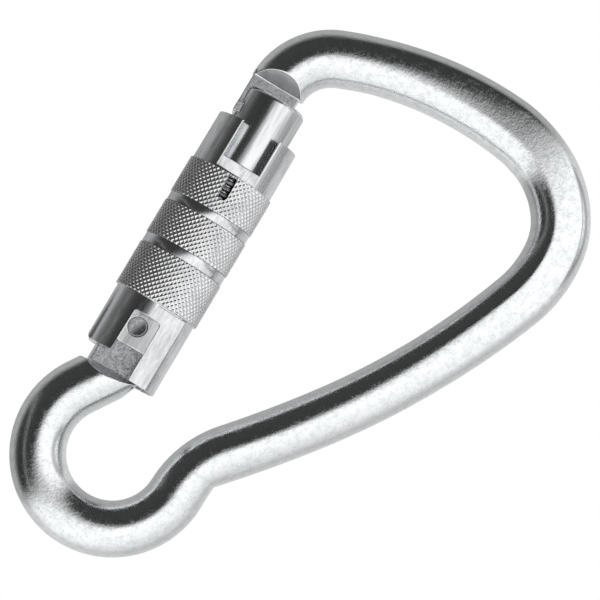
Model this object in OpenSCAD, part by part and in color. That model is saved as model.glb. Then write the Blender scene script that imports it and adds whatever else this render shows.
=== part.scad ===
// Locking carabiner: a forged steel body with a sprung gate and a knurled twist sleeve.
// X points into the basket, Y is across the body, Z runs along the closed gate to the nose.
// The origin is the anchor seat on the inside of the bow.

/* [Bar] */
// Diameter of the round bar in the small eye and the spine
bar_d = 12.2; // [11.8:0.1:12.6]
// Diameter of the bar in the top arch
arch_d = 12.6; // [12.2:0.1:13]
// Width of the bow in the plane of the body
bow_w = 13.2; // [12.6:0.1:13.6]
// Thickness of the bow between its two flats
bow_t = 12.4; // [12.3:0.1:12.6]

/* [Outline] */
// Straight stem between the hinge and the small eye
stem_len = 8.5; // [8:0.1:9]
// Centre line radius of the small eye
eye_r = 16; // [15.5:0.1:16.5]
// Turn of the small eye
eye_turn = 211.5; // [210:0.5:213]
// Centre line radius of the reverse bend after the eye
kink_r = 21; // [20:0.5:22]
// Turn of the reverse bend
kink_turn = 39.5; // [38:0.5:41]
// Heading of the stem, from +X in the plane of the body
stem_heading = -123; // [-124:0.5:-122]

/* [Hinge] */
// Rivet diameter
rivet_d = 4.2; // [4:0.1:4.6]
// Distance of the gate's axis from the rivet, into the basket
gate_x = 0.9; // [0.6:0.1:1]
// Thickness of the flat tang between the gate's two cheeks
tang_t = 6; // [5.4:0.1:6.2]
// Depth of the tang's shoulder below the rivet
shoulder_low = 10.65; // [10.6:0.05:10.8]
// Height of the tang's flat end above the rivet
tang_top = 5; // [4.8:0.1:5.1]

/* [Nose] */
// Height of the nose's shoulder above the rivet
shoulder_high = 60.1; // [60:0.1:61]
// Thickness of the nose tongue
tongue_t = 5.2; // [4.8:0.1:5.4]
// Thickness of the tongue's T-shaped head
head_t = 7.6; // [7:0.1:7.8]
// Running gap round the tongue
tongue_gap = 0.25; // [0.2:0.05:0.3]

/* [Gate barrel] */
// Outer diameter of the barrel
barrel_d = 14; // [13.8:0.1:14.1]
// Height of the barrel's rim above the rivet
barrel_top = 57.7; // [57:0.1:58]
// Distance of the cheeks' ends below the rivet
cheek_low = 4.5; // [4:0.1:5]
// Thickness across the flats of the two cheeks
cheek_t = 12; // [11.6:0.1:12.4]
// Height where the thick head of the barrel begins
head_z = 40.6; // [40:0.1:40.8]
// Diameter of the thinner shank that carries the sleeve spring
shank_d = 10.4; // [10:0.1:10.6]

/* [Sleeve] */
// Outer diameter over the knurled bands
knurl_d = 19.9; // [19.5:0.1:20.2]
// Diameter of the plain rings between the bands
ring_d = 19.5; // [19.2:0.1:19.6]
// Outer diameter of the two upper lugs
lug_d = 18.9; // [18.6:0.1:19]
// Outer diameter of the skirt
skirt_d = 18.8; // [18.6:0.1:19]
// Bore of the sleeve
bore_d = 14.3; // [14.25:0.05:14.4]
// Width of the windows that clear the tang
low_window_w = 6.54; // [6.5:0.02:6.8]
// Width of the upper windows
top_window_w = 8.8; // [8:0.1:9.2]
// Turn of the upper windows from the front
top_window_turn = 4.5; // [0:0.5:6]
// Depth of the long skirt cheek below the rivet
long_cheek = 10.9; // [10.5:0.1:10.9]
// Depth of the short skirt cheek below the rivet
short_cheek = 7.2; // [7:0.1:8]

/* [Springs] */
// Wire diameter of the sleeve spring
sleeve_wire_d = 1.2; // [1:0.1:1.3]
// Pitch of the sleeve spring
sleeve_pitch = 1.5; // [1.45:0.05:1.6]
// Wire diameter of the gate spring
gate_wire_d = 0.8; // [0.7:0.1:0.9]
// Pitch of the gate spring
gate_pitch = 1.5; // [1.4:0.1:1.6]

/* [Hidden] */
$fn = 96;
eps = 0.01;
big = 60;

// Centre line of the bar from the hinge to the nose: [radius, turn], or [length, 0] where straight
STEM_START = [0.44, -10.0];
stem_run_in = 7;
joint_gap = 0.3;
joint_proud = 0.2;
RUNS = [
    [stem_len, 0],
    [eye_r, eye_turn],
    [kink_r, -kink_turn],
    [280, 4.5],
    [175, 16],
    [28, 27.5],
    [17.5, 27],
    [23, 33],
    [31.5, 17.5],
    [80, 28.5],
    [13.5, 270 - stem_heading - eye_turn + kink_turn - 154],
];
FIRST_BOW_RUN = 5;
LAST_BOW_RUN = 8;
SEAT_RUN = 8;

// Neck between the tang and the stem
neck_r = 6.95;
neck_low = 11.2;
low_bevel = 0.56;
high_bevel = 0.9;
tang_left = -6.05;
tang_right = 6;
tang_end_left = -3.9;
tang_end_right = 4;
rivet_r = rivet_d / 2;
rivet_gap = 0.05;
sweep_r = 15.2;
back_flat_x = -1;

// Nose tongue, whose head is concentric with the rivet
tongue_left = -6.4;
tongue_right = 4.9;
tongue_head_in = 51.3;
tongue_head_out = 53.6;

// Barrel
barrel_r = barrel_d / 2;
rim = 0.8;
collar_top = 12;
fork_gap = 0.1;
fork_top = 6.6;
cheek_flat_top = 4;
spring_bore_r = 2.7;
spring_bore_top = 27;

// Sleeve
bore_r = bore_d / 2;
skirt_r = skirt_d / 2;
lug_r = lug_d / 2;
BANDS = [[6.25, 16.85], [19.05, 27.25], [29.25, 38.05]];
lug_top = 49.5;
low_window_top = 2.85;
window_corner = 0.9;
top_window_low = 40.95;
top_flat_low = 38.3;
top_flat_w = 9.4;
top_flat_at = sqrt(lug_r * lug_r - top_flat_w * top_flat_w / 4);
slot_w = 2.1;
slot_low = 32.05;
slot_high = 37.6;
face_turn = 27;
face_half = 24.4;
face_at = skirt_r * cos(face_half);
face_top = 5.9;
relief_r = 8.6;
relief_half = 37;
relief_top = -3;
flare_r = 8.15;
flare_top = -8.4;
cheek_corner = 1.4;

// Guide pin and the quarter-turn groove that it runs in
pin_r = 1;
pin_z = 9.3;
pin_in = 3.6;
pin_out = 8;
groove_r = 8.2;
groove_over = 10;
turn_range = 90;

// Springs and plunger
sleeve_coil_r = 6.15;
sleeve_spring_low = 12.9;
sleeve_spring_high = 39.7;
plunger_r = 2.62;
plunger_low = tang_top + 0.05;
plunger_seat = 9;
plunger_stem_r = 1.4;
plunger_stem_top = 13;
gate_coil_r = 2.05;
wire_sides = 6;
coil_steps = 14;

function turned(p, run) = let (
        s = sign(run[1]),
        c = [p[0] - s * run[0] * sin(p[2]), p[1] + s * run[0] * cos(p[2])],
        h = p[2] + run[1]
    ) [c[0] + s * run[0] * sin(h), c[1] - s * run[0] * cos(h), h];
function advanced(p, run) = [p[0] + run[0] * cos(p[2]), p[1] + run[0] * sin(p[2]), p[2]];
function after(i) = i == 0
    ? [STEM_START[0], STEM_START[1], stem_heading]
    : (RUNS[i - 1][1] == 0 ? advanced(after(i - 1), RUNS[i - 1]) : turned(after(i - 1), RUNS[i - 1]));
seat_point = after(SEAT_RUN);
SEAT = [seat_point[0] - bow_w / 2 * sin(seat_point[2]), 0, seat_point[1] + bow_w / 2 * cos(seat_point[2])];

module placed() {
    translate(-SEAT) children();
}

module upright() {
    rotate([90, 0, 0]) children();
}

module across(r, half) {
    rotate([90, 0, 0]) cylinder(r = r, h = 2 * half, center = true);
}

module on_gate_axis() {
    translate([gate_x, 0, 0]) children();
}

// ---- frame ----
function run_d(i) = i < FIRST_BOW_RUN ? bar_d : (i > LAST_BOW_RUN ? arch_d : bow_w);

// One run of the bar, a little short at both ends, where the blending balls join it to its neighbours
module bar_run(i) {
    p = after(i);
    run = RUNS[i];
    s = sign(run[1]);
    if (run[1] == 0) {
        translate([p[0], p[1], 0]) rotate([0, 0, p[2]]) rotate([0, 90, 0])
            translate([0, 0, joint_gap]) cylinder(d = run_d(i), h = run[0] - 2 * joint_gap);
    } else {
        short = joint_gap / run[0] * 180 / PI;
        translate([p[0] - s * run[0] * sin(p[2]), p[1] + s * run[0] * cos(p[2]), 0])
            rotate([0, 0, p[2] - s * 90 + min(run[1], 0) + short])
                rotate_extrude(angle = abs(run[1]) - 2 * short, $fn = 180)
                    translate([run[0], 0]) circle(d = run_d(i));
    }
}

module joint_ball(i) {
    translate([after(i)[0], after(i)[1], 0])
        sphere(d = max(run_d(i), i == 0 ? 0 : run_d(i - 1)) + 2 * joint_proud);
}

module stem_top() {
    translate([STEM_START[0], STEM_START[1], 0]) rotate([0, 0, stem_heading + 180])
        rotate([0, 90, 0]) translate([0, 0, joint_gap]) cylinder(d = bar_d, h = stem_run_in);
}

// The bar from the hinge to the nose, its bow flattened front and back
module bar() {
    stem_top();
    for (i = [0 : len(RUNS) - 1]) bar_run(i);
    for (i = [0 : len(RUNS) - 1]) joint_ball(i);
}

// Everything outside a plate of thickness t that lies beyond z0, with a bevel of slope k
module beyond_shoulder(z0, t, k, up) {
    for (side = [-1, 1])
        translate([-big / 2, 0, z0]) rotate([90, 0, 90]) linear_extrude(big)
            polygon([[side * t / 2, 0], [side * big / 2, -up * k * (big / 2 - t / 2)],
                [side * big / 2, up * 20], [side * t / 2, up * 20]]);
}

module tang() {
    upright() linear_extrude(tang_t, center = true)
        polygon([[tang_left, -shoulder_low - 2], [tang_left, -0.6], [tang_end_left, tang_top],
            [tang_end_right, tang_top], [tang_right, 1.5], [tang_right, -shoulder_low - 1]]);
}

module neck_turning() {
    on_gate_axis() translate([0, 0, -neck_low]) difference() {
        cylinder(r = 2 * neck_r, h = 30);
        translate([0, 0, -1]) cylinder(r = neck_r, h = 32);
    }
}

// Relief on the basket side of the neck, and the flat behind it that the long cheek swings past
module neck_relief() {
    upright() linear_extrude(20, center = true)
        polygon([[6.3, 0], [6.3, -10.2], [4.6, -14.8], [20, -14.8], [20, 0]]);
    intersection() {
        across(sweep_r, 20);
        translate([back_flat_x, tang_t / 2, -20]) cube([20, 10, 20]);
    }
}

module tongue() {
    translate([tongue_left, -tongue_t / 2, tongue_head_in + 0.6])
        cube([tongue_right - tongue_left, tongue_t, shoulder_high - tongue_head_in]);
    intersection() {
        difference() {
            across(tongue_head_out, head_t / 2);
            across(tongue_head_in, head_t);
        }
        translate([tongue_left, -head_t, 40]) cube([tongue_right - tongue_left, 2 * head_t, 20]);
    }
}

module frame() {
    color("silver") placed() difference() {
        union() {
            difference() {
                intersection() {
                    upright() bar();
                    cube([8 * big, bow_t, 8 * big], center = true);
                }
                intersection() {
                    beyond_shoulder(-shoulder_low, 0, 0, 1);
                    translate([-20, -10, -20]) cube([40, 20, 45]);
                }
                intersection() {
                    beyond_shoulder(-shoulder_low, tang_t, low_bevel, 1);
                    translate([-20, -10, -20]) cube([40, 20, 30]);
                }
                intersection() {
                    beyond_shoulder(shoulder_high, tongue_t, high_bevel, -1);
                    translate([-20, -10, 40]) cube([40, 20, 40]);
                }
            }
            tang();
            tongue();
        }
        neck_turning();
        neck_relief();
        across(rivet_r + rivet_gap, 10);
    }
}

// ---- gate ----
module gate_barrel() {
    color("lightgrey") placed() difference() {
        on_gate_axis() union() {
            translate([0, 0, -cheek_low]) cylinder(r = barrel_r, h = collar_top + cheek_low);
            cylinder(d = shank_d, h = head_z + 1);
            translate([0, 0, head_z]) cylinder(r = barrel_r, h = barrel_top - rim - head_z);
            translate([0, 0, barrel_top - rim]) cylinder(r1 = barrel_r, r2 = barrel_r - rim, h = rim);
        }
        translate([-big / 2, -tang_t / 2 - fork_gap, -big + fork_top])
            cube([big, tang_t + 2 * fork_gap, big]);
        for (side = [0, 180])
            rotate([0, 0, side]) translate([-big / 2, cheek_t / 2, -cheek_low - 1])
                cube([big, 5, cheek_low + 1 + cheek_flat_top]);
        on_gate_axis() cylinder(r = spring_bore_r, h = spring_bore_top);
        across(rivet_r + 0.02, 10);
        on_gate_axis() translate([0, pin_in, pin_z]) rotate([-90, 0, 0]) cylinder(r = pin_r + 0.02, h = 10);
        nose_slot();
    }
}

// Slot that the nose tongue closes into, open towards the outside of the body
module nose_slot() {
    wall_x = tongue_right + tongue_gap;
    translate([wall_x - big, -tongue_t / 2 - tongue_gap / 2, tongue_head_in])
        cube([big, tongue_t + tongue_gap, 20]);
    intersection() {
        difference() {
            across(tongue_head_out + tongue_gap, head_t / 2 + tongue_gap / 2);
            across(tongue_head_in - tongue_gap, head_t);
        }
        translate([wall_x - big, -head_t, 40]) cube([big, 2 * head_t, 20]);
    }
}

module hinge_rivet() {
    half = cheek_t / 2 - 0.1;
    color("gray") placed() difference() {
        across(rivet_r, half);
        for (side = [-1, 1]) translate([0, side * (half + 5.4), 0]) sphere(r = 5.7);
    }
}

module guide_pin() {
    color("dimgray") placed() on_gate_axis() translate([0, pin_in + 0.1, pin_z])
        rotate([-90, 0, 0]) cylinder(r = pin_r, h = pin_out - pin_in - 0.1);
}

// ---- sleeve ----
module sleeve_blank() {
    translate([0, 0, -long_cheek]) cylinder(r = skirt_r, h = long_cheek + BANDS[0][0] + 1);
    translate([0, 0, BANDS[0][0]]) cylinder(d = ring_d, h = BANDS[2][1] - BANDS[0][0]);
    for (band = BANDS)
        translate([0, 0, band[0]]) cylinder(d = knurl_d, h = band[1] - band[0]);
    translate([0, 0, BANDS[2][1] - 1]) cylinder(r = lug_r, h = lug_top - BANDS[2][1] + 1);
}

module low_window() {
    w = low_window_w / 2;
    rotate([90, 0, 0]) linear_extrude(20) union() {
        translate([-w, -20]) square([2 * w, 20 + low_window_top - window_corner]);
        translate([-w + window_corner, 0]) square([2 * (w - window_corner), low_window_top]);
        for (x = [-1, 1])
            translate([x * (w - window_corner), low_window_top - window_corner]) circle(r = window_corner);
    }
}

module top_window() {
    translate([-top_window_w / 2, -20, top_window_low]) cube([top_window_w, 20, 20]);
    translate([-20, -20, top_flat_low]) cube([40, 20 - top_flat_at, top_window_low - top_flat_low + 1]);
}

module spring_slot() {
    translate([-slot_w / 2, -20, slot_low + slot_w / 2]) cube([slot_w, 20, slot_high - slot_low - slot_w / 2]);
    translate([0, 0, slot_low + slot_w / 2]) rotate([90, 0, 0]) cylinder(d = slot_w, h = 20);
}

module skirt_face() {
    rotate([0, 0, face_turn]) translate([-20, -20, -long_cheek - 1])
        cube([40, 20 - face_at, long_cheek + 1 + face_top]);
}

// Thin place inside the long cheek, beside the neck
module cheek_relief() {
    intersection() {
        translate([0, 0, -20]) cylinder(r = relief_r, h = 20 + relief_top);
        translate([0, 0, -20]) linear_extrude(20)
            polygon([[0, 0], [20 * cos(relief_half), -20 * sin(relief_half)], [30, 0],
                [20 * cos(relief_half), 20 * sin(relief_half)]]);
    }
}

// Rounds the free corners of the two cheeks, seen from the front
module cheek_ends() {
    rotate([90, 0, 0]) linear_extrude(40, center = true) {
        translate([-20, -30]) square([20, 30 - short_cheek]);
        difference() {
            translate([-skirt_r - 1, -short_cheek - 1]) square([cheek_corner + 1, cheek_corner + 1]);
            translate([-skirt_r + cheek_corner, -short_cheek + cheek_corner]) circle(r = cheek_corner);
        }
        difference() {
            translate([skirt_r - cheek_corner, -long_cheek - 1]) square([cheek_corner + 1, cheek_corner + 1]);
            translate([skirt_r - cheek_corner, -long_cheek + cheek_corner]) circle(r = cheek_corner);
        }
    }
}

module guide_groove() {
    translate([0, 0, pin_z - pin_r - 0.1]) rotate([0, 0, -groove_over])
        rotate_extrude(angle = turn_range + 2 * groove_over)
            translate([bore_r - 1, 0]) square([groove_r - bore_r + 1, 2 * pin_r + 0.2]);
}

module locking_sleeve() {
    color("gainsboro") placed() on_gate_axis() difference() {
        sleeve_blank();
        translate([0, 0, -20]) cylinder(r = bore_r, h = 80);
        translate([0, 0, -long_cheek - eps])
            cylinder(r1 = flare_r, r2 = bore_r - eps, h = long_cheek + flare_top);
        for (side = [0, 180]) rotate([0, 0, side]) {
            low_window();
            skirt_face();
            rotate([0, 0, top_window_turn]) top_window();
        }
        rotate([0, 0, top_window_turn - 1]) spring_slot();
        cheek_relief();
        cheek_ends();
        guide_groove();
    }
}

// ---- springs and plunger ----
function coil_point(r, a, pitch, wire_r, b) =
    [(r + wire_r * cos(b)) * cos(a), (r + wire_r * cos(b)) * sin(a), pitch * a / 360 + wire_r * sin(b)];

module coil(r, wire_d, pitch, turns) {
    steps = floor(turns * coil_steps);
    points = [for (i = [0 : steps], j = [0 : wire_sides - 1])
        coil_point(r, i * 360 / coil_steps, pitch, wire_d / 2, j * 360 / wire_sides)];
    sides = [for (i = [0 : steps - 1], j = [0 : wire_sides - 1]) [
        i * wire_sides + j,
        i * wire_sides + (j + 1) % wire_sides,
        (i + 1) * wire_sides + (j + 1) % wire_sides,
        (i + 1) * wire_sides + j]];
    ends = [
        [for (j = [wire_sides - 1 : -1 : 0]) j],
        [for (j = [0 : wire_sides - 1]) steps * wire_sides + j]];
    polyhedron(points, concat(sides, ends));
}

module sleeve_spring() {
    turns = (sleeve_spring_high - sleeve_spring_low) / sleeve_pitch;
    color("darkgray") placed() on_gate_axis() translate([0, 0, sleeve_spring_low])
        coil(sleeve_coil_r, sleeve_wire_d, sleeve_pitch, turns);
}

module gate_plunger() {
    color("gray") placed() on_gate_axis() union() {
        translate([0, 0, plunger_low]) cylinder(r = plunger_r, h = plunger_seat - plunger_low);
        translate([0, 0, plunger_low]) cylinder(r = plunger_stem_r, h = plunger_stem_top - plunger_low);
    }
}

module gate_spring() {
    low = plunger_seat + gate_wire_d / 2 + 0.05;
    turns = (spring_bore_top - gate_wire_d / 2 - 0.05 - low) / gate_pitch;
    color("darkgray") placed() on_gate_axis() translate([0, 0, low])
        coil(gate_coil_r, gate_wire_d, gate_pitch, turns);
}

frame();
gate_barrel();
hinge_rivet();
locking_sleeve();
sleeve_spring();
guide_pin();
gate_plunger();
gate_spring();
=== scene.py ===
"""Looks for a locking carabiner: forged zinc-plated steel body, turned gate barrel and knurled sleeve."""

import math

import bmesh
import bpy
import numpy as np
from mathutils import Matrix, Vector


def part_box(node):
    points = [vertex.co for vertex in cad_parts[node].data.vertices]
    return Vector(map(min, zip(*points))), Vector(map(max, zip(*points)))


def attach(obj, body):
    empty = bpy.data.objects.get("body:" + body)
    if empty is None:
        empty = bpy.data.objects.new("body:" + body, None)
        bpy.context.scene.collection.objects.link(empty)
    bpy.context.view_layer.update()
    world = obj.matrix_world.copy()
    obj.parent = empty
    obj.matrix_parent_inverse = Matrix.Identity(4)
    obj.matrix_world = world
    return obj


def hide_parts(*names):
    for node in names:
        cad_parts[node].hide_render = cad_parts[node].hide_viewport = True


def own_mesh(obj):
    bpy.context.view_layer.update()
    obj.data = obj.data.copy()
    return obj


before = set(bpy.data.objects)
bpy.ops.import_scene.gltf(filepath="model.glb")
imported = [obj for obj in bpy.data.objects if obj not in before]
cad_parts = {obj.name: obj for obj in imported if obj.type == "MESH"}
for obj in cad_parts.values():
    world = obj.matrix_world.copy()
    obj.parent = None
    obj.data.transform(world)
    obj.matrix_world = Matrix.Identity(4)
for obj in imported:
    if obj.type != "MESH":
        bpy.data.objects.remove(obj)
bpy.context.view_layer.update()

MM = 0.001
rivet_low, rivet_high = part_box("hinge_rivet")
RIVET = (rivet_low + rivet_high) / 2  # every length below is in millimetres from this point
GATE_X = 0.9  # the gate's axis, beside the rivet
SHOULDER_LOW, SHOULDER_HIGH = -10.65, 60.1
TANG_T, TONGUE_T = 6.0, 5.2
TONGUE_LEFT, TONGUE_RIGHT = -6.4, 4.9
HEAD_IN, HEAD_OUT, HEAD_HALF = 51.3, 53.6, 3.8  # the T head is part of a ring about the rivet
HEAD_GAP, SLOT_GAP = 0.25, 0.12
SPRING_TOP = 27


# ---- meshes ----
def to_world(points):
    return [RIVET + Vector(p) * MM for p in points]


def mesh_from(name, points, faces, smooth=True):
    mesh = bpy.data.meshes.new(name)
    mesh.from_pydata(to_world(points), [], faces)
    mesh.validate()
    obj = bpy.data.objects.new(name, mesh)
    bpy.context.scene.collection.objects.link(obj)
    if smooth:
        mesh.shade_smooth()
    return obj


def outward(obj, merge=0.0):
    """Turns every face of a closed mesh outwards, after merging points closer than merge."""
    bm = bmesh.new()
    bm.from_mesh(obj.data)
    if merge:
        bmesh.ops.remove_doubles(bm, verts=bm.verts, dist=merge * MM)
        bmesh.ops.dissolve_degenerate(bm, edges=bm.edges, dist=merge * MM)
    bmesh.ops.recalc_face_normals(bm, faces=bm.faces)
    bm.to_mesh(obj.data)
    bm.free()
    return obj


def ring_faces(first, second, count):
    return [(first + i, first + (i + 1) % count, second + (i + 1) % count, second + i) for i in range(count)]


def lathe(name, profile, axis_x=GATE_X, sides=192, closed=False):
    """Turns (radius, height) pairs about the gate's axis; radius 0 gives a pole, closed joins last to first."""
    points, faces, rings = [], [], []
    for r, z in profile:
        if r == 0:
            rings.append((len(points), 1))
            points.append((axis_x, 0, z))
        else:
            rings.append((len(points), sides))
            for i in range(sides):
                a = 2 * math.pi * i / sides
                points.append((axis_x + r * math.cos(a), r * math.sin(a), z))
    pairs = list(zip(rings, rings[1:])) + ([(rings[-1], rings[0])] if closed else [])
    for (a, na), (b, nb) in pairs:
        if na == 1:
            faces += [(a, b + i, b + (i + 1) % sides) for i in range(sides)]
        elif nb == 1:
            faces += [(a + i, a + (i + 1) % sides, b) for i in range(sides)]
        else:
            faces += ring_faces(a, b, sides)
    return outward(mesh_from(name, points, faces))


def prism(name, outline, place, lo, hi):
    """A straight prism: place(u, v, w) gives the point for outline (u, v) and depth w."""
    n = len(outline)
    points = [place(u, v, w) for w in (lo, hi) for u, v in outline]
    faces = ring_faces(0, n, n) + [tuple(range(n)), tuple(range(n, 2 * n))]
    return outward(mesh_from(name, points, faces, smooth=False))


def across_y(u, v, w):
    return (u, w, v)


def along_x(u, v, w):
    return (w, u, v)


def turned_z(angle, dx=GATE_X):
    """Places an outline (sideways, height) cut inwards from the front, turned about the gate's axis."""
    c, s = math.cos(math.radians(angle)), math.sin(math.radians(angle))
    return lambda u, v, w: (dx + u * c - w * s, u * s + w * c, v)


def box_outline(x0, x1, y0, y1):
    return [(x0, y0), (x1, y0), (x1, y1), (x0, y1)]


def circle_outline(r, x=0.0, y=0.0, sides=96):
    return [(x + r * math.cos(2 * math.pi * i / sides), y + r * math.sin(2 * math.pi * i / sides))
            for i in range(sides)]


def arc(r, x, y, a0, a1, steps=16):
    return [(x + r * math.cos(math.radians(a0 + (a1 - a0) * i / steps)),
             y + r * math.sin(math.radians(a0 + (a1 - a0) * i / steps))) for i in range(steps + 1)]


def apply_modifiers(obj):
    graph = bpy.context.evaluated_depsgraph_get()
    mesh = bpy.data.meshes.new_from_object(obj.evaluated_get(graph))
    obj.modifiers.clear()
    obj.data = mesh
    return obj


def cut(obj, tools, how="DIFFERENCE"):
    """Cuts (or joins) each tool in turn, then removes the tools."""
    for tool in tools:
        m = obj.modifiers.new("cut", "BOOLEAN")
        m.operation, m.solver, m.object = how, "EXACT", tool
        apply_modifiers(obj)
        bpy.data.objects.remove(tool)
    return obj


def soften(obj, width, angle=30, segments=2):
    """Small rounded edges, as machining and plating leave them."""
    outward(obj, merge=0.06)
    m = obj.modifiers.new("edge", "BEVEL")
    m.width, m.segments, m.limit_method, m.angle_limit = width * MM, segments, "ANGLE", math.radians(angle)
    m.use_clamp_overlap = False
    apply_modifiers(obj)
    return obj


def sharpen(obj, angle=35):
    """Smooth shading with hard edges, and normals weighted by area so that flat faces stay flat."""
    obj.data.shade_smooth()
    obj.data.set_sharp_from_angle(angle=math.radians(angle))
    m = obj.modifiers.new("flat", "WEIGHTED_NORMAL")
    m.weight, m.keep_sharp = 100, True
    return apply_modifiers(obj)


# ---- forged body ----
RUNS = [(8.5, 0), (16, 211.5), (21, -39.5), (280, 4.5), (175, 16), (28, 27.5), (17.5, 27), (23, 33),
        (31.5, 17.5), (80, 28.5), (13.5, 67)]
STEM_TOP, HEADING = (0.44, -10.0), -123.0
WIDTHS = [(0, 6.08), (130, 6.08), (152, 6.32), (170, 6.45), (188, 6.6), (197, 6.8), (212, 6.55), (222, 6.35),
          (229, 6.22), (240, 6.3), (260, 6.3)]
RIDGE = [(0, 0), (95, 0), (150, 0.75), (160, 1), (196, 1), (222, 0.3), (236, 0), (260, 0)]
CREASE_AT, CREASE_R, CREASE_HALF = 74.8, 21, math.radians(19.75)
SIDES = 72


def centre_line(step):
    """Distance, point and heading at even steps along the bar, from above the hinge shoulder to the nose."""
    x, z = STEM_TOP
    heading = math.radians(HEADING)
    out = [(-6.0, x - 6 * math.cos(heading), z - 6 * math.sin(heading), heading)]
    travelled = 0.0
    for size, turn in RUNS:
        angle = math.radians(turn)
        length = size if turn == 0 else size * abs(angle)
        count = max(2, round(length / step))
        for i in range(count):
            part = i / count
            if turn == 0:
                out.append((travelled + length * part, x + length * part * math.cos(heading),
                            z + length * part * math.sin(heading), heading))
            else:
                s = math.copysign(1, turn)
                h = heading + angle * part
                cx, cz = x - s * size * math.sin(heading), z + s * size * math.cos(heading)
                out.append((travelled + length * part, cx + s * size * math.sin(h),
                            cz - s * size * math.cos(h), h))
        if turn == 0:
            x, z = x + length * math.cos(heading), z + length * math.sin(heading)
        else:
            s = math.copysign(1, turn)
            cx, cz = x - s * size * math.sin(heading), z + s * size * math.cos(heading)
            heading += angle
            x, z = cx + s * size * math.sin(heading), cz - s * size * math.cos(heading)
        travelled += length
    out.append((travelled, x, z, heading))
    return out


def section(distance, side_angle):
    """Forged section: round, with a ridge and a flatter outer part along the bow. Inner side is u > 0."""
    w = np.interp(distance, *zip(*WIDTHS))
    k = np.interp(distance, *zip(*RIDGE))
    u, v = w * math.cos(side_angle), 6.12 * math.sin(side_angle)
    from_crease = abs(distance - CREASE_AT) / CREASE_R
    if u < 0 and from_crease < CREASE_HALF:  # the fold on the outside, where the eye meets the spine
        depth = (CREASE_R - w) * (1 / math.cos(CREASE_HALF - from_crease) - 1)
        u += depth * (u / w) ** 4
    ridge_u = 1.9
    plane = 6.12 * math.sqrt(1 - (ridge_u / w) ** 2) - 0.2 * (ridge_u - u)
    if u < ridge_u and abs(v) > plane:
        v = math.copysign(abs(v) - k * 0.8 * (abs(v) - plane), v)
    return u, v


def bar_mesh():
    points, faces = [], []
    line = centre_line(0.55)
    for distance, x, z, h in line:
        nx, nz = -math.sin(h), math.cos(h)
        for i in range(SIDES):
            u, v = section(distance, 2 * math.pi * i / SIDES)
            points.append((x + nx * u, v, z + nz * u))
    for i in range(len(line) - 1):
        faces += ring_faces(i * SIDES, (i + 1) * SIDES, SIDES)
    faces += [tuple(range(SIDES)), tuple(range((len(line) - 1) * SIDES, len(line) * SIDES))]
    return outward(mesh_from("forged_body", points, faces))


def lens_bevel(z0, t, slope, up):
    """The two wedges that give the lens-shaped bevels beside a flat plate of thickness t."""
    for side in (-1, 1):
        outline = [(side * t / 2, z0), (side * 30, z0 - up * slope * (30 - t / 2)), (side * 30, z0 + up * 20),
                   (side * t / 2, z0 + up * 20)]
        yield prism("lens", outline, along_x, -12, 12)


def tongue_head():
    outline = arc(HEAD_OUT, 0, 0, 80, 100, 40) + arc(HEAD_IN, 0, 0, 100, 80, 40)
    head = prism("head", outline, across_y, -HEAD_HALF, HEAD_HALF)
    keep = prism("keep", box_outline(TONGUE_LEFT, TONGUE_RIGHT, 40, 60), across_y, -8, 8)
    return cut(head, [keep], "INTERSECT")


def forged_body():
    body = bar_mesh()
    cut(body, [prism("top", box_outline(-20, 20, SHOULDER_LOW, 14), across_y, -12, 12)])
    cut(body, list(lens_bevel(SHOULDER_LOW, TANG_T, 0.56, 1)))
    cut(body, list(lens_bevel(SHOULDER_HIGH, TONGUE_T, 0.9, -1)))
    cut(body, [prism("plain", box_outline(-20, 20, 42, SHOULDER_HIGH), across_y, -12, 12)])
    h = TANG_T / 2
    tang = [(-6.05, -12.6), (-6.05, -0.6), (-3.9, 5), (4, 5), (6, 1.5), (6, -11.6)]
    cut(body, [prism("tang", tang, across_y, -h, h),
               prism("tongue", box_outline(TONGUE_LEFT, TONGUE_RIGHT, 51.9, 61.2), across_y,
                     -TONGUE_T / 2, TONGUE_T / 2),
               tongue_head()], "UNION")
    cut(body, [lathe("turning", [(6.88, -11.2), (14, -11.2), (14, 18.8), (6.88, 18.8)], closed=True),
               prism("relief", [(6.3, 0), (6.3, -10.2), (4.6, -14.8), (20, -14.8), (20, 0)], across_y, -10, 10),
               cut(prism("sweep", circle_outline(15.2, sides=192), across_y, 3, 10),
                   [prism("keep", box_outline(-1, 19, -20, 0), across_y, 2, 12)], "INTERSECT"),
               prism("hole", circle_outline(2.15), across_y, -10, 10)])
    soften(body, 0.16, 38)
    return sharpen(body, 38)


# ---- gate barrel ----
def gate_barrel():
    profile = [(0, -4.5), (7, -4.5), (7, 12), (5.2, 12), (5.2, 40.6), (7, 40.6), (7, 56.9),
               (6.2, 57.7), (0, 57.7)]
    barrel = lathe("turned_barrel", profile)
    wall = TONGUE_RIGHT + HEAD_GAP
    tongue_half, head_half = TONGUE_T / 2 + SLOT_GAP, HEAD_HALF + SLOT_GAP
    slot_head = arc(HEAD_OUT + HEAD_GAP, 0, 0, 70, 110, 60) + arc(HEAD_IN - HEAD_GAP, 0, 0, 110, 70, 60)
    cut(barrel, [
        prism("fork", box_outline(-30, 30, -53, 6.6), across_y, -3.1, 3.1),
        prism("flat", box_outline(-30, 30, -6, 4), across_y, 6, 11),
        prism("flat", box_outline(-30, 30, -6, 4), across_y, -11, -6),
        lathe("bore", [(0, -6), (2.7, -6), (2.7, SPRING_TOP), (0, SPRING_TOP)], sides=64),
        prism("hole", circle_outline(2.12), across_y, -10, 10),
        prism("slot", box_outline(wall - 60, wall, HEAD_IN, 72), across_y, -tongue_half, tongue_half),
        cut(prism("slot_head", slot_head, across_y, -head_half, head_half),
            [prism("keep", box_outline(wall - 60, wall, 40, 60), across_y, -9, 9)], "INTERSECT"),
        pin_hole(),
    ])
    soften(barrel, 0.22, 32)
    return sharpen(barrel)


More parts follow.
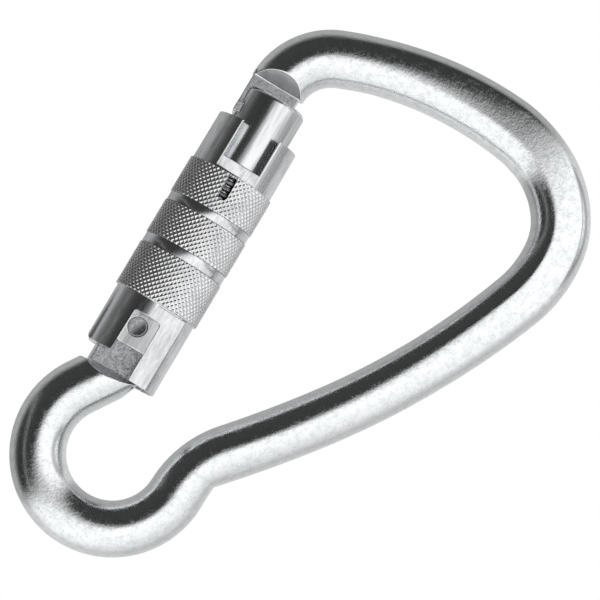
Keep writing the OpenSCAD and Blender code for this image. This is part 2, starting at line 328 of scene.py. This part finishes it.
def pin_hole():
    return prism("pin_hole", circle_outline(1.02, GATE_X, 9.3, 48), across_y, 3.6, 13)


# ---- sleeve ----
BANDS = [(6.25, 16.85), (19.05, 27.25), (29.25, 38.05)]
SKIRT_R, LUG_R, RING_R, CORE_R, BORE_R = 9.4, 9.45, 9.75, 9.5, 7.15
LONG_CHEEK, SHORT_CHEEK, LUG_TOP = -10.9, -7.2, 49.5
SLOT_TURN = 3.5


def sleeve_cutters():
    face_at = SKIRT_R * math.cos(math.radians(24.4))
    flat_at = math.sqrt(LUG_R ** 2 - 4.7 ** 2)
    w, top, r = 3.27, 2.85, 0.9
    window = [(-w, -20), (w, -20)] + arc(r, w - r, top - r, 0, 90, 6) + arc(r, -w + r, top - r, 90, 180, 6)
    for side in (0, 180):
        yield prism("low_window", window, turned_z(side), -20, -0.5)
        yield prism("skirt_face", box_outline(-20, 20, -12, 5.9), turned_z(side + 27), -20, -face_at)
        yield prism("top_window", box_outline(-4.4, 4.4, 40.95, 60), turned_z(side + 4.5), -20, -0.5)
        yield prism("top_flat", box_outline(-20, 20, 38.3, 60), turned_z(side + 4.5), -20, -flat_at)
    yield prism("slot", slot_outline(), turned_z(SLOT_TURN), -20, -0.5)
    c, s = 20 * math.cos(math.radians(37)), 20 * math.sin(math.radians(37))
    wedge = [(GATE_X, 0), (GATE_X + c, -s), (GATE_X + 30, 0), (GATE_X + c, s)]
    yield cut(lathe("relief", [(0, -20), (8.6, -20), (8.6, -3), (0, -3)]),
              [prism("wedge", wedge, lambda u, v, d: (u, v, d), -30, 5)], "INTERSECT")
    x = SKIRT_R
    left = [(GATE_X - 20, SHORT_CHEEK), (GATE_X - 20, -30), (GATE_X, -30), (GATE_X, SHORT_CHEEK)]
    yield prism("short", left, across_y, -20, 20)
    round_left = [(GATE_X - x - 1, -5.8), (GATE_X - x - 1, -8.2), (GATE_X - x + 1.4, -8.2)]
    yield prism("corner", round_left + arc(1.4, GATE_X - x + 1.4, -5.8, 270, 180, 10), across_y, -20, 20)
    round_right = [(GATE_X + x + 1, -9.5), (GATE_X + x + 1, -11.9), (GATE_X + x - 1.4, -11.9)]
    yield prism("corner", round_right + arc(1.4, GATE_X + x - 1.4, -9.5, 270, 360, 10), across_y, -20, 20)
    groove = arc(8.2, GATE_X, 0, -10, 100, 48) + arc(6.2, GATE_X, 0, 100, -10, 48)
    yield prism("groove", groove, lambda u, v, d: (u, v, d), 8.2, 10.4)


def slot_outline():
    return [(1.05, 37.6), (-1.05, 37.6)] + arc(1.05, 0, 33.1, 180, 360, 20)


def sleeve_body():
    profile = [(SKIRT_R, LONG_CHEEK), (SKIRT_R, BANDS[0][0])]
    for i, (a, b) in enumerate(BANDS):
        profile += [(CORE_R, a), (CORE_R, b)]
        if i < 2:
            profile += [(RING_R, b), (RING_R, BANDS[i + 1][0])]
    profile += [(LUG_R, BANDS[2][1]), (LUG_R, LUG_TOP), (BORE_R, LUG_TOP), (BORE_R, -8.4), (8.15, LONG_CHEEK)]
    sleeve = lathe("milled_sleeve", profile, closed=True, sides=240)
    cut(sleeve, sleeve_cutters())
    soften(sleeve, 0.2, 32)
    return sharpen(sleeve)


def knurl(name, low_z, high_z):
    """A closed band with two crossing sets of raised lines."""
    columns, lines, pitch = 600, 50, 1.25
    rows = max(20, round((high_z - low_z) / 0.13))
    theta = np.linspace(0, 2 * math.pi, columns, endpoint=False)
    z = np.linspace(low_z + 0.12, high_z - 0.12, rows)
    turn, up = np.meshgrid(theta * lines / (2 * math.pi), z / pitch)
    ridge = np.maximum(1 - np.abs(2 * ((turn + up) % 1) - 1), 1 - np.abs(2 * ((turn - up) % 1) - 1))
    height = np.clip((ridge - 0.35) / 0.6, 0, 1)
    r = 9.68 + 0.25 * height
    rings = [(np.full(columns, 9.3), low_z + 0.02), (np.full(columns, 9.62), low_z + 0.02)]
    rings += [(r[i], z[i]) for i in range(rows)]
    rings += [(np.full(columns, 9.62), high_z - 0.02), (np.full(columns, 9.3), high_z - 0.02)]
    points = [(GATE_X + rr * math.cos(t), rr * math.sin(t), zz)
              for radii, zz in rings for rr, t in zip(radii, theta)]
    faces = []
    for i in range(len(rings)):
        faces += ring_faces(i * columns, ((i + 1) % len(rings)) * columns, columns)
    return outward(mesh_from(name, points, faces))


# ---- springs ----
def coil(name, radius, wire, pitch, z0, z1, sides=10, steps=48):
    """A compression spring of even pitch, from z0 to z1 between wire centres."""
    turns = (z1 - z0) / pitch
    count = round(turns * steps)
    points, faces = [], []
    for i in range(count + 1):
        a = 2 * math.pi * i / steps
        z = z0 + (z1 - z0) * i / count
        centre = Vector((GATE_X + radius * math.cos(a), radius * math.sin(a), z))
        outwards = Vector((math.cos(a), math.sin(a), 0))
        for j in range(sides):
            b = 2 * math.pi * j / sides
            points.append(centre + wire / 2 * (outwards * math.cos(b) + Vector((0, 0, math.sin(b)))))
    for i in range(count):
        faces += ring_faces(i * sides, (i + 1) * sides, sides)
    faces += [tuple(range(sides)), tuple(range(count * sides, (count + 1) * sides))]
    return outward(mesh_from(name, points, faces))


# ---- materials ----
class Nodes:
    """A short way to add shader nodes to one node tree."""

    def __init__(self, tree):
        self.tree = tree
        tree.nodes.clear()

    def add(self, kind, settings=None, **inputs):
        node = self.tree.nodes.new(kind)
        for key, value in (settings or {}).items():
            setattr(node, key, value)
        for key, value in inputs.items():
            self.put(node, key.replace("_", " "), value)
        return node

    def put(self, node, socket, value):
        target = node.inputs[socket if isinstance(socket, int) else socket]
        if isinstance(value, bpy.types.NodeSocket):
            self.tree.links.new(value, target)
        else:
            target.default_value = value

    def ramp(self, fac, stops):
        node = self.add("ShaderNodeValToRGB")
        self.tree.links.new(fac, node.inputs["Fac"])
        ramp = node.color_ramp
        for i, (at, colour) in enumerate(stops):
            e = ramp.elements[i] if i < 2 else ramp.elements.new(at)
            e.position = at
            e.color = (*colour, 1) if hasattr(colour, "__len__") else (colour, colour, colour, 1)
        return node.outputs["Color"]

    def math(self, operation, *values):
        node = self.add("ShaderNodeMath", {"operation": operation})
        for i, value in enumerate(values):
            self.put(node, i, value)
        return node.outputs[0]


def steel(name, tones, rough, grain, bump, stretch=(1, 1, 1), blotch=260.0):
    """Bare or plated steel: tone, roughness and a fine bump all follow noise. tones is (dark, light)."""
    mat = bpy.data.materials.new(name)
    mat.use_nodes = True
    n = Nodes(mat.node_tree)
    place = n.add("ShaderNodeTexCoord").outputs["Object"]
    mapping = n.add("ShaderNodeMapping", Vector=place, Scale=stretch).outputs["Vector"]
    fine = n.add("ShaderNodeTexNoise", Vector=mapping, Scale=grain, Detail=6.0, Roughness=0.62).outputs["Fac"]
    coarse = n.add("ShaderNodeTexNoise", Vector=mapping, Scale=blotch, Detail=3.0).outputs["Fac"]
    mixed = n.math("ADD", n.math("MULTIPLY", fine, 0.6), n.math("MULTIPLY", coarse, 0.4))
    dark, light = tones
    colour = n.ramp(mixed, [(0.36, tuple(dark)), (0.6, tuple(light))])
    roughness = n.ramp(mixed, [(0.41, rough[1]), (0.53, rough[0])])
    height = n.add("ShaderNodeBump", Strength=bump, Distance=0.00012, Height=mixed).outputs["Normal"]
    shader = n.add("ShaderNodeBsdfPrincipled", Base_Color=colour, Roughness=roughness, Normal=height,
                   Metallic=1.0)
    out = n.add("ShaderNodeOutputMaterial")
    n.put(out, "Surface", shader.outputs["BSDF"])
    return mat


def wear(obj, mat):
    obj.data.materials.clear()
    obj.data.materials.append(mat)
    return obj


def material_where(obj, mat, test):
    """Gives mat to the faces whose centre and normal, in millimetres from the rivet, pass the test."""
    obj.data.materials.append(mat)
    index = len(obj.data.materials) - 1
    for face in obj.data.polygons:
        if test((face.center - RIVET) / MM, face.normal):
            face.material_index = index


def on_plate(p, n):
    """The flats of the tang and of the nose tongue, which get a darker tone as painted shade."""
    return abs(n.y) > 0.98 and abs(p.y) < 3.95 and abs(p.x) < 8 and (-12.7 < p.z < 6 or 50 < p.z < 61)


def on_lens(p, n):
    """The lens-shaped bevels at the two shoulders, picked by the way they face, which get a lighter tone as
    painted highlight.
    """
    low_lens = p.z < 0 and abs(n.y) * 0.489 + n.z * 0.872 > 0.996
    high_lens = 55 < p.z < 70 and abs(n.y) * 0.669 - n.z * 0.743 > 0.996
    return abs(p.x) < 9 and (low_lens or high_lens)


ZINC = ((0.76, 0.79, 0.8), (0.92, 0.935, 0.94))
forged = steel("forged_zinc", ZINC, (0.14, 0.29), grain=1900, bump=0.36, blotch=700)
# tang and nose flats: rougher steel, and their darker tone is a painted shade of how they face the studio
plate = steel("plate_rough_painted_shade", ((0.4, 0.41, 0.43), (0.74, 0.75, 0.77)), (0.38, 0.6), grain=2600, bump=0.5,
              blotch=1400)
# shoulder bevels: grinding grain across them, and their lighter tone is a painted highlight
lens = steel("bevel_steel_painted_highlight", ((0.74, 0.75, 0.77), (0.97, 0.97, 0.98)), (0.34, 0.5), grain=1200, bump=0.3,
             stretch=(0.2, 1, 1), blotch=700)
turned = steel("turned_steel", ((0.55, 0.57, 0.58), (0.86, 0.87, 0.88)), (0.2, 0.4), grain=900, bump=0.22,
               stretch=(1, 1, 0.08), blotch=500)
milled = steel("milled_steel", ((0.66, 0.67, 0.69), (0.88, 0.89, 0.9)), (0.2, 0.32), grain=1600, bump=0.12,
               stretch=(1, 1, 0.25), blotch=300)
knurled = steel("knurled_steel", ((0.76, 0.77, 0.78), (0.95, 0.95, 0.96)), (0.24, 0.4), grain=1400, bump=0.1)
dark_steel = steel("rivet_steel", ((0.28, 0.29, 0.3), (0.5, 0.51, 0.52)), (0.32, 0.5), grain=1700, bump=0.3)
spring_steel = steel("spring_steel", ((0.14, 0.14, 0.15), (0.3, 0.3, 0.31)), (0.3, 0.5), grain=2000, bump=0.1)

# ---- build ----
body = wear(forged_body(), forged)
# the front-facing flats get the painted shade
material_where(body, plate, on_plate)
# the shoulder bevels get the painted highlight
material_where(body, lens, on_lens)
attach(body, "body")
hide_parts("frame")

barrel = wear(gate_barrel(), turned)
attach(barrel, "gate")
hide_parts("gate_barrel")

sleeve = wear(sleeve_body(), milled)
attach(sleeve, "sleeve")
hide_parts("locking_sleeve")

for index, (a, b) in enumerate(BANDS):
    band = knurl(f"knurl_band_{index + 1}", a, b)
    if index == 2:
        cut(band, [prism("slot", slot_outline(), turned_z(SLOT_TURN), -20, -0.5)])
        band.data.shade_smooth()
    wear(band, knurled)
    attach(band, "sleeve")

for name, node, size in (("coiled_sleeve_spring", "sleeve_spring", (6.15, 1.2, 1.5, 12.9, 39.7)),
                         ("coiled_gate_spring", "gate_spring", (2.05, 0.8, 1.5, 9.45, 26.55))):
    spring = wear(coil(name, *size), spring_steel)
    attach(spring, "gate")
    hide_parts(node)
    if node == "gate_spring":  # the plunger would push it 1.2 mm shorter; here it only gets a mesh of its own
        spring_seat = to_world([(GATE_X, 0, SPRING_TOP)])[0]
        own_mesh(spring)
        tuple(spring_seat)

for node, mat in (("hinge_rivet", dark_steel), ("guide_pin", dark_steel), ("gate_plunger", dark_steel)):
    wear(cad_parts[node], mat)

# ---- camera ----
TILT, ROLL = math.radians(5.3), math.radians(30.6)
LENS, SENSOR, SPAN = 250.0, 36.0, 0.12903
distance = SPAN * LENS / SENSOR
forward = Vector((0, math.cos(TILT), math.sin(TILT)))
right0, up0 = Vector((1, 0, 0)), Vector((0, -math.sin(TILT), math.cos(TILT)))
right = right0 * math.cos(ROLL) + up0 * math.sin(ROLL)
up = up0 * math.cos(ROLL) - right0 * math.sin(ROLL)
target = RIVET + Vector((26.94, 0, 23.17)) * MM
data = bpy.data.cameras.new("camera")
data.lens, data.sensor_width, data.clip_start = LENS, SENSOR, 0.01
camera = bpy.data.objects.new("camera", data)
bpy.context.scene.collection.objects.link(camera)
turn = Matrix((right, up, -forward)).transposed().to_4x4()
camera.matrix_world = Matrix.Translation(target - forward * distance) @ turn
bpy.context.scene.camera = camera

# ---- studio ----
world = bpy.data.worlds.new("studio")
bpy.context.scene.world = world
world.use_nodes = True
w = Nodes(world.node_tree)
direction = w.add("ShaderNodeTexCoord").outputs["Generated"]


def towards(v):
    node = w.add("ShaderNodeVectorMath", {"operation": "DOT_PRODUCT"})
    w.put(node, 0, direction)
    w.put(node, 1, tuple(v))
    return node.outputs["Value"]




def band(value, stops):
    """A ramp over a direction's cosine, given as (cosine, level) stops."""
    return w.ramp(w.math("MULTIPLY_ADD", value, 0.5, 0.5), [(0.5 + 0.5 * at, level) for at, level in stops])


side = towards(up * 0.84 - right * 0.54)
front = towards(-forward)
across = towards(right)
lit = band(side, [(-1, 0.86), (-0.75, 1.02), (-0.3, 1.2), (0.0, 1.1), (0.22, 0.035), (1, 0.05)])
fade = band(front, [(-1, 0.6), (-0.3, 0.62), (0.1, 0.9), (0.5, 1.0)])
strip = band(across, [(0.86, 1.0), (0.9, 0.4), (0.95, 0.4), (0.99, 1.0)])
streak = band(across, [(-0.86, 0.0), (-0.82, 0.22), (-0.78, 0.22), (-0.72, 0.0)])
behind = band(front, [(-0.4, 0.42), (0.04, 0.0)])
level = w.math("MULTIPLY", w.math("MULTIPLY", lit, fade), strip)
level = w.math("MAXIMUM", w.math("MAXIMUM", level, behind), streak)
studio = w.add("ShaderNodeBackground", Color=(1, 1, 1, 1), Strength=level)
white = w.add("ShaderNodeBackground", Color=(1, 1, 1, 1), Strength=1.0)
camera_ray = w.add("ShaderNodeLightPath").outputs["Is Camera Ray"]
mix = w.add("ShaderNodeMixShader")
w.put(mix, 0, camera_ray)
w.put(mix, 1, studio.outputs[0])
w.put(mix, 2, white.outputs[0])
w.put(w.add("ShaderNodeOutputWorld"), "Surface", mix.outputs[0])

floor_mat = bpy.data.materials.new("floor")
floor_mat.use_nodes = True
f = Nodes(floor_mat.node_tree)
spots = f.add("ShaderNodeTexNoise", Vector=f.add("ShaderNodeTexCoord").outputs["Object"], Scale=3.0)
pale = f.ramp(spots.outputs["Fac"], [(0.3, 0.86), (0.7, 0.9)])
f.put(f.add("ShaderNodeOutputMaterial"), "Surface",
      f.add("ShaderNodeBsdfPrincipled", Base_Color=pale, Roughness=0.9).outputs["BSDF"])
FLOOR_DROP, FLOOR_HALF = 0.25, 6.0
floor_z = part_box("frame")[0].z - FLOOR_DROP
corners = [(x * FLOOR_HALF, y * FLOOR_HALF, floor_z) for x, y in ((-1, -1), (1, -1), (1, 1), (-1, 1))]
mesh = bpy.data.meshes.new("floor")
mesh.from_pydata(corners, [], [(0, 1, 2, 3)])
floor = bpy.data.objects.new("floor", mesh)
bpy.context.scene.collection.objects.link(floor)
mesh.materials.append(floor_mat)
floor.visible_glossy = False

# soft light from above for the floor; the steel only reflects the studio
sun_data = bpy.data.lights.new("soft_top", "SUN")
sun_data.energy, sun_data.angle = 1.5, math.radians(50)
sun = bpy.data.objects.new("soft_top", sun_data)
bpy.context.scene.collection.objects.link(sun)
sun.rotation_euler = (math.radians(20), math.radians(-12), 0)
sun.visible_glossy = False

scene = bpy.context.scene
scene.view_settings.view_transform = "Standard"
scene.view_settings.look = "None"
